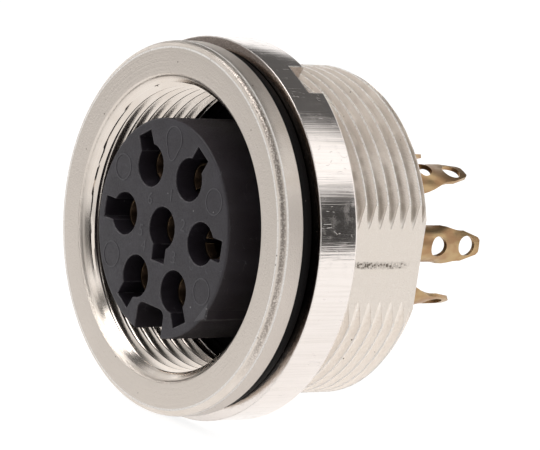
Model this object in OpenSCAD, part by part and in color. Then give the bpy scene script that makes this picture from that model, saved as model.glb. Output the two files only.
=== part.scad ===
// Circular panel socket with seven contacts and a coupling thread in its mouth.
// The mouth faces -Y, the solder tags point along +Y, and the key slot is at the bottom, -Z.
// The origin is on the axis, in the plane behind the flange where the panel seats.
// Angles round the axis are clockwise from +Z, seen from the mouth.
// Threads are drawn plain: an outer one at its crest, an inner one at its smallest bore.
// Diameters build up from the contacts outwards, so each piece follows what it goes round.
// With these values the rear thread is M18 x 0.75 and the coupling thread M16 x 0.75.

/* [Flange and mouth] */
// Width of the flange outside the rear thread
flange_w = 1.05; // [0.7:0.05:3]
// Thickness of the flange
flange_t = 1.4; // [1.1:0.1:3]
// Radius on the flange's front edge
flange_round = 0.45; // [0.2:0.05:0.6]
// Gap round the insert's boss, which the plug's sleeve goes into
plug_gap = 1.7; // [1.5:0.05:1.9]
// Depth of the chamfer in front of the coupling thread
coupling_chamfer = 0.4; // [0.2:0.05:0.5]
// Width of the mouth's taper
mouth_taper_w = 0.3; // [0.1:0.05:0.5]
// Length of the mouth's taper
mouth_taper_l = 0.6; // [0.3:0.1:1]
// Depth of the clearance groove behind the coupling thread
relief_h = 0.4; // [0.2:0.05:0.5]
// Width of the clearance groove
relief_w = 0.9; // [0.6:0.1:1.2]
// Width of the land between the clearance groove and the inner lip
relief_land = 0.2; // [0.1:0.05:0.5]

/* [Rear barrel] */
// Wall between the rear bore and the crest of the rear thread
barrel_wall = 1.5; // [1.3:0.05:3]
// Length of the barrel behind the flange
barrel_l = 9.4; // [8.5:0.1:14]
// Depth of the two milled flats, from the thread's crest
flat_depth = 0.65; // [0.3:0.05:0.75]
// Chamfer at the barrel's rear end
barrel_chamfer = 0.3; // [0.1:0.05:0.4]
// Thickness of the inner lip that the insert is held against
lip_t = 0.6; // [0.5:0.05:1]
// Width of the key groove in the rear bore
key_groove_w = 1.6; // [1:0.1:2.4]
// Depth of the key groove, from the rear bore
key_groove_h = 0.35; // [0.2:0.05:0.4]

/* [Panel seal] */
// Width of the seal as squeezed between flange and nut
seal_w = 0.8; // [0.5:0.05:1.5]
// Distance of the seal's outer edge inside the flange's edge
seal_inset = 0.2; // [0.1:0.05:0.3]
// Depth of the groove that the seal sits in, at the root of the barrel
seal_groove_h = 0.3; // [0.15:0.05:0.4]

/* [Ring nut] */
// Distance that the ring nut stands out beyond the flange
nut_over = 0.3; // [0:0.05:1]
// Length of the ring nut
nut_l = 2.55; // [2:0.05:4]
// Radial width of the chamfer on the nut's front edge
nut_chamfer_w = 0.4; // [0.1:0.05:0.5]
// Length of the chamfer on the nut's front edge
nut_chamfer_l = 0.15; // [0.1:0.05:0.4]
// Chamfer on the nut's rear edges
nut_rear_chamfer = 0.12; // [0.05:0.01:0.2]
// Width of a spanner slot
nut_slot_w = 2.2; // [1.5:0.1:3]
// Depth of a spanner slot, from the nut's rear face
nut_slot_h = 1; // [0.5:0.05:1.5]
// Number of spanner slots
nut_slots = 2; // [2:1:6]
// Turn of the nut as it is tightened, in degrees
nut_turn = 27; // [0:1:359]

/* [Insert] */
// Distance from the circle of contacts to the outside of the round boss
boss_rim = 2.375; // [2.1:0.025:3]
// Distance that the insert's face stands out of the mouth
boss_proud = 0.33; // [0:0.01:0.6]
// Chamfer round the insert's face
boss_chamfer = 0.12; // [0.05:0.01:0.2]
// Step from the boss to the thicker base that passes through the lip
base_step = 0.4; // [0.2:0.05:0.8]
// Thickness of the insert's flange
insert_flange_t = 1.1; // [0.9:0.1:2]
// Width of the key slot
key_slot_w = 2.4; // [1.8:0.1:2.6]
// Depth of the key slot, from the outside of the boss
key_slot_depth = 1.65; // [1.2:0.05:1.75]
// Radius in the corners of the key slot
key_slot_round = 0.45; // [0.1:0.05:0.6]
// Height of the small ridge on the boss
ridge_h = 0.25; // [0.1:0.05:0.4]
// Width of the small ridge
ridge_w = 1.6; // [0.8:0.1:2]
// Angle of the small ridge
ridge_angle = 128; // [115:1:140]
// Radial thickness of the insert's seal
insert_seal_thick = 0.9; // [0.6:0.05:1.2]
// Width of the insert's seal, squeezed between lip and insert
insert_seal_w = 0.7; // [0.5:0.05:1]

/* [Contact holes] */
// Diameter of the circle that the outer contacts stand on
contact_circle_d = 7.05; // [6.8:0.05:9]
// Number of contacts on the circle
circle_contacts = 6; // [3:1:6]
// Radial clearance of a contact in its hole
hole_fit = 0.13; // [0.05:0.01:0.18]
// Width of the slot beside each hole
side_slot_w = 1.15; // [0.9:0.05:1.3]
// Depth of the side slot, outwards from the hole's wall
side_slot_h = 0.68; // [0.5:0.01:0.75]
// Depth of the side slot from the insert's face
side_slot_depth = 4.7; // [3:0.1:6]

/* [Contacts] */
// Depth of a contact's mouth below the insert's face
contact_recess = 1; // [0.5:0.1:1.8]
// Bore of the socket, for a 1 mm pin
socket_bore_d = 1.1; // [1:0.05:1.2]
// Wall of the split socket
socket_wall = 0.4; // [0.3:0.02:0.45]
// Length of the split socket
socket_l = 3.6; // [3:0.1:4.5]
// Width of the slit in the socket
socket_slit_w = 0.25; // [0.15:0.05:0.4]
// Step from the socket out to the rolled tube behind it
tube_step = 0.07; // [0:0.01:0.1]
// Thickness of the sheet that the contact is rolled from
sheet_t = 0.3; // [0.2:0.02:0.35]
// Gap along the seam of the rolled tube
seam_w = 0.4; // [0.2:0.05:0.8]
// Height of the bead that stops the contact, above the wall of its hole
bead_h = 0.15; // [0.1:0.01:0.2]
// Length of the bead
bead_l = 0.4; // [0.3:0.05:0.6]
// Clearance on each side of the lance in the side slot
lance_fit = 0.125; // [0.05:0.005:0.2]
// Length of the lance
lance_l = 2; // [1:0.1:2.5]

/* [Solder tags] */
// Length of a contact behind the holder
tail_l = 6.8; // [6:0.1:12]
// Width of a solder tag
tag_w = 1.66; // [1.5:0.02:1.9]
// Height of a solder tag's middle above the contact's axis
tag_lift = 0.55; // [0.4:0.05:0.7]
// Width of a solder tag's tip
tag_tip_w = 0.8; // [0.5:0.05:1.2]
// Length of the taper to the tip
tag_taper_l = 1.2; // [0.8:0.1:2]
// Diameter of the wire holes in a tag
wire_hole_d = 1.13; // [0.8:0.01:1.2]
// Distance from the tip to the first wire hole
tip_hole_gap = 0.92; // [0.9:0.02:1.6]
// Distance between the two wire holes
wire_hole_pitch = 2.15; // [1.6:0.05:2.6]
// Length of the rolled tube behind the holder, at its seam
tube_tail_l = 2.5; // [2:0.1:4]
// Length over which the tube slopes away to the flat tag
slope_l = 1.9; // [1:0.1:2.4]

/* [Contact holder and retaining ring] */
// Thickness of the holder's disc
holder_t = 0.8; // [0.6:0.05:1.5]
// Length of the holder's rear boss, which is as wide as the insert's boss
holder_boss_l = 1.7; // [1:0.1:2.5]
// Thickness of the retaining ring
ring_t = 0.8; // [0.6:0.05:1.2]
// Distance of the retaining ring inside the barrel's rear end
ring_recess = 0.1; // [0:0.05:1]
// Width of the slots in the retaining ring
ring_slot_w = 1.2; // [0.8:0.1:1.6]
// Depth of the slots in the retaining ring
ring_slot_h = 0.4; // [0.2:0.05:0.5]

/* [Clearances] */
// Radial clearance of the ring nut on the rear thread
nut_fit = 0.05; // [0.02:0.01:0.1]
// Radial clearance of pieces that slide together when the socket is built
slide_fit = 0.1; // [0.05:0.01:0.15]
// Radial clearance of a contact's tube in the holder
tube_fit = 0.06; // [0.03:0.01:0.1]

/* [Hidden] */
$fn = 96;
CUT = 0.5;                                      // overshoot of a cutting shape past a face

// Along the axis: the mouth, then the stack in the rear bore, from the barrel's end forwards.
front_y = -flange_t;
face_y = front_y - boss_proud;
thread_start_y = front_y + mouth_taper_l + coupling_chamfer;
ring_y = barrel_l - ring_recess - ring_t;
holder_y = ring_y - holder_t;
holder_back_y = ring_y + holder_boss_l;
insert_flange_y = holder_y - insert_flange_t;
lip_back_y = insert_flange_y - insert_seal_w;
lip_y = lip_back_y - lip_t;
relief_back_y = lip_y - relief_land;
relief_y = relief_back_y - relief_w;            // here the coupling thread ends

// Radii of a contact and its hole, from the pin outwards.
socket_r = socket_bore_d / 2 + socket_wall;
tube_r = socket_r + tube_step;
tube_hole_r = tube_r + tube_fit;
hole_r = tube_r + hole_fit;
bead_r = hole_r + bead_h;
bead_pocket_r = bead_r + slide_fit;
side_slot_reach = hole_r + side_slot_h;

// Radii of the socket, from the circle of contacts outwards.
circle_r = contact_circle_d / 2;
boss_r = circle_r + boss_rim;
base_r = boss_r + base_step;
lip_r = base_r + slide_fit;
insert_seal_r = lip_r + insert_seal_thick;
loose_r = insert_seal_r + slide_fit;            // pieces that slide into the rear bore
bore_r = loose_r + slide_fit;
barrel_r = bore_r + barrel_wall;
flange_r = barrel_r + flange_w;
flat_x = barrel_r - flat_depth;
coupling_bore_r = boss_r + plug_gap;
mouth_inner_r = coupling_bore_r + coupling_chamfer;
mouth_r = mouth_inner_r + mouth_taper_w;
relief_r = coupling_bore_r + relief_h;
seal_groove_r = barrel_r - seal_groove_h;
seal_r = flange_r - seal_inset;
nut_r = flange_r + nut_over;
nut_bore_r = barrel_r + nut_fit;

// Lengths of a contact.
contact_y = face_y + contact_recess;
socket_back_y = contact_y + socket_l;
lance_back_y = face_y + side_slot_depth;
bead_y = holder_y - bead_l;
tip_y = holder_back_y + tail_l;
tube_end_y = holder_back_y + tube_tail_l;
circle_step = 360 / circle_contacts;

nickel = [0.76, 0.74, 0.70];
bright_nickel = [0.84, 0.83, 0.80];
gold = [0.80, 0.62, 0.32];
rubber = [0.07, 0.07, 0.075];
dark_plastic = [0.24, 0.235, 0.26];
holder_plastic = [0.14, 0.14, 0.15];

// Turns a profile of [radius, y] points round the Y axis.
module turned(points) {
    rotate([-90, 0, 0])
        rotate_extrude()
            polygon([for (p = points) [p[0], p[1]]]);
}

// A round rod along Y, from y0 to y1.
module rod(r, y0, y1) {
    translate([0, y0, 0])
        rotate([-90, 0, 0])
            cylinder(r = r, h = y1 - y0);
}

// A block along Y, centred on x, from z0 to z1.
module block(w, y0, y1, z0, z1) {
    translate([-w / 2, y0, z0])
        cube([w, y1 - y0, z1 - z0]);
}

// Puts a shape that points up at an angle round the axis.
module at_angle(a) {
    rotate([0, a, 0]) children();
}

// Places of the contacts: 1 to 6 round the circle, the last one in the middle.
// The middle one points down, as the key slot does.
module at_contact(i) {
    if (i <= circle_contacts)
        at_angle(circle_step * (i - 0.5))
            translate([0, 0, circle_r])
                children();
    else
        at_angle(180) children();
}

// A quarter circle from angle a0 to a1 round a centre, as profile points.
function arc(c, r, a0, a1, steps = 8) =
    [for (k = [0 : steps]) c + r * [cos(a0 + (a1 - a0) * k / steps), sin(a0 + (a1 - a0) * k / steps)]];

// One turned piece: flange, mouth, inner lip, rear bore and threaded barrel with two flats.
module housing() {
    color(nickel)
        difference() {
            turned(concat(
                [[mouth_r, front_y]],
                arc([flange_r - flange_round, front_y + flange_round], flange_round, -90, 0),
                [
                    [flange_r, 0],
                    [seal_groove_r, 0],
                    [seal_groove_r, seal_w],
                    [barrel_r, seal_w],
                    [barrel_r, barrel_l - barrel_chamfer],
                    [barrel_r - barrel_chamfer, barrel_l],
                    [bore_r, barrel_l],
                    [bore_r, lip_back_y],
                    [lip_r, lip_back_y],
                    [lip_r, lip_y],
                    [coupling_bore_r, lip_y],
                    [coupling_bore_r, relief_back_y],
                    [relief_r, relief_back_y],
                    [relief_r, relief_y],
                    [coupling_bore_r, relief_y],
                    [coupling_bore_r, thread_start_y],
                    [mouth_inner_r, front_y + mouth_taper_l]
                ]));
            for (side = [90, 270])
                at_angle(side)
                    block(2 * barrel_r, seal_w, barrel_l + CUT, flat_x, barrel_r + CUT);
            block(key_groove_w, lip_back_y, barrel_l + CUT, bore_r - CUT, bore_r + key_groove_h);
        }
}

// A squeezed ring: flat where it touches the metal, rounded at its inner and outer edges.
module squeezed_ring(r_in, r_out, y0, w) {
    bulge = min(r_out - r_in, w) * 0.3;
    turned(concat(
        arc([r_in + bulge, y0 + bulge], bulge, 180, 270),
        arc([r_out - bulge, y0 + bulge], bulge, 270, 360),
        arc([r_out - bulge, y0 + w - bulge], bulge, 0, 90),
        arc([r_in + bulge, y0 + w - bulge], bulge, 90, 180)));
}

module panel_seal() {
    color(rubber) squeezed_ring(seal_groove_r, seal_r, 0, seal_w);
}

module insert_seal() {
    color(rubber) squeezed_ring(lip_r, insert_seal_r, lip_back_y, insert_seal_w);
}

// Round nut, tightened against the panel seal, with spanner slots in its rear edge.
module ring_nut() {
    back_y = seal_w + nut_l;
    color(bright_nickel)
        difference() {
            turned([
                [nut_bore_r + nut_rear_chamfer, seal_w],
                [nut_r - nut_chamfer_w, seal_w],
                [nut_r, seal_w + nut_chamfer_l],
                [nut_r, back_y - nut_rear_chamfer],
                [nut_r - nut_rear_chamfer, back_y],
                [nut_bore_r + nut_rear_chamfer, back_y],
                [nut_bore_r, back_y - nut_rear_chamfer],
                [nut_bore_r, seal_w + nut_rear_chamfer]
            ]);
            for (k = [0 : nut_slots - 1])
                at_angle(nut_turn + 360 / nut_slots * k)
                    block(nut_slot_w, back_y - nut_slot_h, back_y + CUT, barrel_r / 2, nut_r + CUT);
        }
}

// Key slot at the bottom of the boss, with rounded inner corners and open to the rim.
module key_slot() {
    floor_r = boss_r - key_slot_depth;
    at_angle(180)
        translate([0, lip_y, 0])
            rotate([90, 0, 0])
                linear_extrude(lip_y - face_y + CUT)
                    polygon(concat(
                        [[-key_slot_w / 2, boss_r + CUT]],
                        arc([-key_slot_w / 2 + key_slot_round, floor_r + key_slot_round],
                            key_slot_round, 180, 270),
                        arc([key_slot_w / 2 - key_slot_round, floor_r + key_slot_round],
                            key_slot_round, 270, 360),
                        [[key_slot_w / 2, boss_r + CUT]]));
}

// Moulded front insert: boss, thicker base inside the lip, flange with its key.
module insert() {
    color(dark_plastic)
        difference() {
            union() {
                turned([
                    [0, face_y],
                    [boss_r - boss_chamfer, face_y],
                    [boss_r, face_y + boss_chamfer],
                    [boss_r, lip_y],
                    [base_r, lip_y],
                    [base_r, insert_flange_y],
                    [loose_r, insert_flange_y],
                    [loose_r, holder_y],
                    [0, holder_y]
                ]);
                block(key_groove_w - 2 * slide_fit, insert_flange_y, holder_y,
                    loose_r - CUT, bore_r + key_groove_h - slide_fit);
                at_angle(ridge_angle)
                    translate([0, lip_y, 0])
                        rotate([90, 0, 0])
                            linear_extrude(lip_y - face_y)
                                polygon([
                                    [-ridge_w / 2, boss_r - ridge_h],
                                    [0, boss_r + ridge_h],
                                    [ridge_w / 2, boss_r - ridge_h]
                                ]);
            }
            key_slot();
            for (i = [1 : circle_contacts + 1])
                at_contact(i) {
                    rod(hole_r, face_y - CUT, holder_y + CUT);
                    rod(bead_pocket_r, bead_y, holder_y + CUT);
                    block(side_slot_w, face_y - CUT, face_y + side_slot_depth, 0, side_slot_reach);
                }
        }
}

// Rear insulator: a disc that closes the insert, and a boss that steadies the contacts.
module contact_holder() {
    color(holder_plastic)
        difference() {
            union() {
                rod(loose_r, holder_y, ring_y);
                rod(boss_r, holder_y, holder_back_y);
                block(key_groove_w - 2 * slide_fit, holder_y, ring_y,
                    loose_r - CUT, bore_r + key_groove_h - slide_fit);
            }
            for (i = [1 : circle_contacts + 1])
                at_contact(i)
                    rod(tube_hole_r, holder_y - CUT, holder_back_y + CUT);
        }
}

// Threaded ring behind the holder, with two slots for a spanner.
module retaining_ring() {
    color(nickel)
        difference() {
            turned([
                [boss_r + slide_fit, ring_y],
                [loose_r, ring_y],
                [loose_r, ring_y + ring_t],
                [boss_r + slide_fit, ring_y + ring_t]
            ]);
            for (side = [90, 270])
                at_angle(side)
                    block(ring_slot_w, ring_y + ring_t - ring_slot_h, ring_y + ring_t + CUT,
                        boss_r - CUT, bore_r + CUT);
        }
}

// Flat solder tag, in plan: parallel sides, then a taper to a blunt tip.
module tag() {
    start_y = holder_back_y + tube_tail_l / 2;
    translate([0, 0, tag_lift - sheet_t / 2])
        linear_extrude(sheet_t)
            polygon([
                [-tag_w / 2, start_y],
                [-tag_w / 2, tip_y - tag_taper_l],
                [-tag_tip_w / 2, tip_y],
                [tag_tip_w / 2, tip_y],
                [tag_w / 2, tip_y - tag_taper_l],
                [tag_w / 2, start_y]
            ]);
}

// Side view of the slope that cuts the rolled tube away down to the flat tag.
module tube_slope() {
    bottom = -tube_r - CUT;
    top = tag_lift + sheet_t / 2;
    rotate([90, 0, 90])
        linear_extrude(2 * (tube_r + CUT), center = true)
            polygon([
                [tube_end_y - (CUT / (top + tube_r)) * slope_l, bottom],
                [tube_end_y + slope_l, top],
                [tube_end_y + slope_l, tube_r + CUT],
                [tip_y + CUT, tube_r + CUT],
                [tip_y + CUT, bottom]
            ]);
}

// Lance: a tongue of the sheet bent outwards, resting against the end of the side slot.
module lance() {
    rotate([90, 0, 90])
        linear_extrude(side_slot_w - 2 * lance_fit, center = true)
            polygon([
                [lance_back_y - lance_l, socket_r - sheet_t],
                [lance_back_y, side_slot_reach - slide_fit - sheet_t],
                [lance_back_y, side_slot_reach - slide_fit],
                [lance_back_y - lance_l, socket_r]
            ]);
}

// One stamped and rolled contact, drawn with its axis on Y and its tag towards +Z.
module contact() {
    color(gold)
        difference() {
            union() {
                rod(socket_r, contact_y, socket_back_y);
                difference() {
                    union() {
                        rod(tube_r, socket_back_y, tube_end_y + slope_l);
                        rod(bead_r, bead_y, bead_y + bead_l);
                    }
                    tube_slope();
                }
                lance();
                tag();
            }
            rod(socket_bore_d / 2, contact_y - CUT, socket_back_y + CUT);
            rod(tube_r - sheet_t, socket_back_y, tube_end_y);
            block(socket_slit_w, contact_y - CUT, socket_back_y, -socket_r - CUT, 0);
            block(seam_w, socket_back_y, tip_y, -tube_r - CUT, 0);
            for (k = [0, 1])
                translate([0, tip_y - tip_hole_gap - k * wire_hole_pitch, tag_lift - sheet_t])
                    cylinder(r = wire_hole_d / 2, h = 2 * sheet_t + tube_r);
        }
}

housing();
panel_seal();
ring_nut();
insert();
insert_seal();
contact_holder();
retaining_ring();
for (i = [1 : circle_contacts + 1])
    at_contact(i) contact();
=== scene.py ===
import math
import bmesh
import bpy
from mathutils import Matrix, Vector


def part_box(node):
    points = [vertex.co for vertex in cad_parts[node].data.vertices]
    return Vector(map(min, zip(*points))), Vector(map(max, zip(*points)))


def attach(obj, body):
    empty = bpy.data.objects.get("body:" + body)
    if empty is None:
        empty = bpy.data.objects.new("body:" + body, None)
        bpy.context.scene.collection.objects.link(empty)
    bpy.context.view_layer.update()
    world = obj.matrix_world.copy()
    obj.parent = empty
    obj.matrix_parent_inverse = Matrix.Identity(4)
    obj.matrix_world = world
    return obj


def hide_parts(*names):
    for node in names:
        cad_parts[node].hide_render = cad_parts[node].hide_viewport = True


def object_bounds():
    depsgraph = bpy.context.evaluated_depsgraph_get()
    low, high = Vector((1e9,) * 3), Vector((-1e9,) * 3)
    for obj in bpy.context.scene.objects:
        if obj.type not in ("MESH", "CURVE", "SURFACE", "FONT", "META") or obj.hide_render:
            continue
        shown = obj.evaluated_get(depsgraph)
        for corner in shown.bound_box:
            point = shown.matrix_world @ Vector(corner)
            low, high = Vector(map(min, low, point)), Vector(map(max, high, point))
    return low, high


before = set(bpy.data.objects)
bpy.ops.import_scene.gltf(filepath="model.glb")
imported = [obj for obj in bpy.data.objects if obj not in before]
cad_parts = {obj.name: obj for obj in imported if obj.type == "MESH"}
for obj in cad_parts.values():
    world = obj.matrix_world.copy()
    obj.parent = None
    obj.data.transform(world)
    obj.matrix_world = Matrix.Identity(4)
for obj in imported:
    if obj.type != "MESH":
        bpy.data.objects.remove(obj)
cad_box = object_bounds()

# ---------------------------------------------------------------------------------------------
# Camera, lamps and floor
# A long lens looks into the mouth from the right, almost level with the socket's axis. The
# socket lies a little turned on its axis, so the camera leans by that turn.
MM = 0.001
LEAN = math.radians(14.3)
VIEW_AZIMUTH = math.radians(52.353)
VIEW_HEIGHT = math.radians(-0.717)
VIEW_ROLL = math.radians(-0.485)
VIEW_DISTANCE = 200 * MM
VIEW_TARGET = Vector((0, 5.572, 0.184)) * MM
LENS = 244.69
SENSOR = 36

lean = Matrix.Rotation(-LEAN, 3, "Y")


def leaned(vector):
    """A direction or place given with the socket's axis level, put into the part's own frame."""
    return lean @ Vector(vector)


back = Vector((
    math.sin(VIEW_AZIMUTH) * math.cos(VIEW_HEIGHT),
    -math.cos(VIEW_AZIMUTH) * math.cos(VIEW_HEIGHT),
    math.sin(VIEW_HEIGHT)))
side = (-back).cross(Vector((0, 0, 1))).normalized()
up = side.cross(-back)
right = math.cos(VIEW_ROLL) * side + math.sin(VIEW_ROLL) * up
top = math.cos(VIEW_ROLL) * up - math.sin(VIEW_ROLL) * side
turned_axes = Matrix((leaned(right), leaned(top), leaned(back))).transposed()

camera_data = bpy.data.cameras.new("camera")
camera_data.lens = LENS
camera_data.sensor_width = SENSOR
camera_data.clip_start = 1 * MM
camera_data.clip_end = 10
camera = bpy.data.objects.new("camera", camera_data)
view_place = leaned(VIEW_TARGET + VIEW_DISTANCE * back)
camera.matrix_world = Matrix.Translation(view_place) @ turned_axes.to_4x4()
bpy.context.scene.collection.objects.link(camera)
bpy.context.scene.camera = camera


def softbox(name, place, aim, width, height, power):
    """A soft rectangular lamp, placed and aimed in millimetres with the socket's axis level."""
    light = bpy.data.lights.new(name, "AREA")
    light.shape = "RECTANGLE"
    light.size = width * MM
    light.size_y = height * MM
    light.energy = power
    lamp = bpy.data.objects.new(name, light)
    direction = leaned(Vector(aim) - Vector(place))
    lamp.rotation_euler = direction.to_track_quat("-Z", "Y").to_euler()
    lamp.location = leaned(Vector(place) * MM)
    bpy.context.scene.collection.objects.link(lamp)
    return lamp


key_lamp = softbox("key_lamp", (-90, -130, 120), (0, 3, 0), 110, 110, 0.055)
back_lamp = softbox("back_lamp", (120, 130, 95), (0, 5, 0), 90, 60, 0.04)
for lamp in (key_lamp, back_lamp):
    lamp.visible_glossy = False


class Nodes:
    """A node tree with short ways to add to it. A value is a number or another node's output."""

    def __init__(self, tree):
        self.tree = tree

    def put(self, value, slot):
        """Links an output to an input, or sets the input to a number, a colour or a vector."""
        if isinstance(value, bpy.types.NodeSocket):
            self.tree.links.new(value, slot)
        else:
            slot.default_value = value

    def add(self, kind, inputs=(), **settings):
        """A new node with these settings, and with its inputs set by name or by number."""
        node = self.tree.nodes.new(kind)
        for name, value in settings.items():
            setattr(node, name, value)
        for slot, value in dict(inputs).items():
            self.put(value, node.inputs[slot])
        return node

    def calc(self, operation, *values):
        """One step of arithmetic."""
        return self.add("ShaderNodeMath", enumerate(values), operation=operation).outputs[0]

    def product(self, first, *others):
        """All the values multiplied together."""
        for value in others:
            first = self.calc("MULTIPLY", first, value)
        return first

    def inverse(self, mask):
        """1 where the mask is 0, and 0 where it is 1."""
        return self.calc("SUBTRACT", 1.0, mask)

    def fade(self, value, low, high):
        """0 at low, 1 at high, smooth between. Low may be the larger of the two."""
        return self.add("ShaderNodeMapRange", {"Value": value, "From Min": low, "From Max": high},
                        interpolation_type="SMOOTHSTEP").outputs["Result"]

    def band(self, value, start, full, end, gone):
        """1 from full to end, smooth down to 0 at start and at gone."""
        return self.product(self.fade(value, start, full), self.fade(value, gone, end))

    def axes(self, place):
        """The X, Y and Z of a place."""
        return self.add("ShaderNodeSeparateXYZ", {0: place}).outputs

    def joined(self, **axes):
        """A place from its X, Y and Z, each 0 where it isn't given."""
        return self.add("ShaderNodeCombineXYZ", axes).outputs[0]

    def from_axis(self, x, z):
        """The distance from the Y axis."""
        return self.calc("SQRT", self.calc("ADD", self.calc("POWER", x, 2), self.calc("POWER", z, 2)))


# Metal sees the bright sweep, a dark ceiling, a bright lamp behind on the right, a narrow dark
# strip under that lamp where the sweep ends, small lamps overhead and on the left, and a dim room
# in front.
WHITE = (1, 1, 1, 1)
ROOM_LIGHT = 0.62
SWEEP_LIGHT = 1.2
REAR_LAMP_LIGHT = 1.35
OVERHEAD_LAMP_LIGHT = 5.0
LEFT_LAMP_LIGHT = 0.8
CEILING_SHADE = 0.9
STRIP_SHADE = 0.95
CAMERA_SIDE_SHADE = 0.9
FRONT_LEFT_SHADE = 0.6

world = bpy.data.worlds.new("studio")
bpy.context.scene.world = world
world.use_nodes = True
world.node_tree.nodes.clear()
room = Nodes(world.node_tree)
level = room.add("ShaderNodeVectorRotate", {
    "Vector": room.add("ShaderNodeTexCoord").outputs["Generated"], "Angle": LEAN},
    rotation_type="Y_AXIS").outputs["Vector"]
x, y, z = room.axes(level)


def towards(direction, wide, narrow):
    """1 within narrow degrees of a direction, 0 beyond wide degrees, smooth between."""
    node = room.add("ShaderNodeVectorMath", {0: level, 1: Vector(direction).normalized()},
                    operation="DOT_PRODUCT")
    limits = [math.cos(math.radians(degrees)) for degrees in (wide, narrow)]
    return room.fade(node.outputs["Value"], *limits)


def background(strength):
    """A white background of this strength."""
    return room.add("ShaderNodeBackground", {"Color": WHITE, "Strength": strength}).outputs[0]


def switched(ray, usual, other):
    """The usual background, and the other one for this kind of ray."""
    return room.add("ShaderNodeMixShader", {0: ray, 1: usual, 2: other}).outputs[0]


ceiling = room.fade(z, 0.5, 0.63)
rear_lamp = towards((0.66, 0.61, 0.43), 29, 8)
overhead_lamp = towards((0.05, -0.45, 0.89), 22, 9)
left_lamp = towards((-0.75, -0.35, 0.55), 24, 10)
camera_side = towards((0.76, -0.65, 0), 36, 18)
front_left = towards((-0.79, -0.61, 0), 45, 10)
height = room.calc("ABSOLUTE", room.calc("SUBTRACT", z, 0.03))
sideways = room.calc("ABSOLUTE", room.calc("SUBTRACT", room.product(x, 0.61), room.product(y, 0.79)))
strip = room.product(room.inverse(room.fade(height, 0.15, 0.38)),
                     room.inverse(room.fade(sideways, 0.16, 0.28)), room.fade(y, 0.2, 0.35))
glow = room.product(room.inverse(room.product(ceiling, CEILING_SHADE)), SWEEP_LIGHT)
glow = room.calc("MULTIPLY_ADD", rear_lamp, room.calc("SUBTRACT", REAR_LAMP_LIGHT, glow), glow)
glow = room.calc("MULTIPLY_ADD", overhead_lamp, OVERHEAD_LAMP_LIGHT, glow)
glow = room.calc("MULTIPLY_ADD", left_lamp, LEFT_LAMP_LIGHT, glow)
glow = room.product(glow, room.inverse(room.product(strip, STRIP_SHADE)))
dim = room.calc("MAXIMUM", room.product(camera_side, CAMERA_SIDE_SHADE),
                room.product(front_left, FRONT_LEFT_SHADE))
seen_by_metal = room.product(glow, room.inverse(dim))
ray = room.add("ShaderNodeLightPath").outputs
on_object = switched(ray["Is Glossy Ray"], background(ROOM_LIGHT), background(seen_by_metal))
straight = room.calc("MAXIMUM", ray["Is Camera Ray"], ray["Is Transmission Ray"])
room.add("ShaderNodeOutputWorld", {"Surface": switched(straight, on_object, background(1))})

FLOOR_SIZE = 3
FLOOR_GREY = 0.35
FLOOR_GLOW = 0.86
GLOW_IN_METAL = 0.95
FRONT_GLOW = 0.45
GLOW_CHANGES_Y = (-0.15, 0.03)

floor_z = cad_box[0][2]
floor_mesh = bpy.data.meshes.new("floor")
floor_mesh.from_pydata(
    [(x * FLOOR_SIZE, y * FLOOR_SIZE, floor_z) for x, y in ((-1, -1), (1, -1), (1, 1), (-1, 1))],
    [], [(0, 1, 2, 3)])
floor = bpy.data.objects.new("floor", floor_mesh)
bpy.context.scene.collection.objects.link(floor)

# A matt floor that glows white to the camera, and glows less in metal in front of the part.
floor_paint = bpy.data.materials.new("white_sweep")
floor_paint.use_nodes = True
floor_paint.node_tree.nodes.clear()
sweep = Nodes(floor_paint.node_tree)
_, floor_y, _ = sweep.axes(sweep.add("ShaderNodeTexCoord").outputs["Object"])
in_metal = sweep.add("ShaderNodeMapRange", {
    "Value": floor_y, "From Min": GLOW_CHANGES_Y[0], "From Max": GLOW_CHANGES_Y[1],
    "To Min": FRONT_GLOW, "To Max": GLOW_IN_METAL}, interpolation_type="SMOOTHSTEP")
ray = sweep.add("ShaderNodeLightPath").outputs
strength = sweep.calc("MULTIPLY_ADD", ray["Is Glossy Ray"], in_metal.outputs["Result"],
                      sweep.product(ray["Is Camera Ray"], FLOOR_GLOW))
matte = sweep.add("ShaderNodeBsdfDiffuse", {"Color": (FLOOR_GREY, FLOOR_GREY, FLOOR_GREY, 1)})
glow = sweep.add("ShaderNodeEmission", {"Color": WHITE, "Strength": strength})
both = sweep.add("ShaderNodeAddShader", {0: matte.outputs[0], 1: glow.outputs[0]})
sweep.add("ShaderNodeOutputMaterial", {"Surface": both.outputs[0]})
floor_mesh.materials.append(floor_paint)

bpy.context.scene.view_settings.view_transform = "Standard"

# ---------------------------------------------------------------------------------------------
# Housing
# One piece turned from brass bar and plated with satin nickel. It carries the flange, the mouth
# with its inner thread for the plug's ring, and the rear thread with two milled flats.
HOUSING_FRONT, HOUSING_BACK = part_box("housing")
FRONT_Y = HOUSING_FRONT[1] / MM
BARREL_END_Y = HOUSING_BACK[1] / MM
FLANGE_R = HOUSING_BACK[0] / MM
FLANGE_ROUND = 0.5
MOUTH_R = 8.3
MOUTH_INNER_R = 7.85
MOUTH_TAPER = 0.4
MOUTH_CHAMFER = 0.15
INNER_THREAD_R = 7.6
INNER_THREAD_Y = (FRONT_Y + MOUTH_TAPER, 4.2)
INNER_CHAMFER = MOUTH_INNER_R - INNER_THREAD_R
RELIEF_R = 8.0
RELIEF_END_Y = 5.1
LIP_Y = (5.3, 5.9)
LIP_R = 6.4
REAR_BORE_R = 7.5
BARREL_R = 9.0
SEAL_GROOVE_R = 8.7
SEAL_W = 0.8
BARREL_CHAMFER = 0.3
FLAT_X = 8.35
KEY_GROOVE_W = 1.6
KEY_GROOVE_R = 7.85
PITCH = 0.75
THREAD_DEPTH = 0.44
CREST_FLAT = 0.07
REAR_THREAD_Y = 0.95
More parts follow.
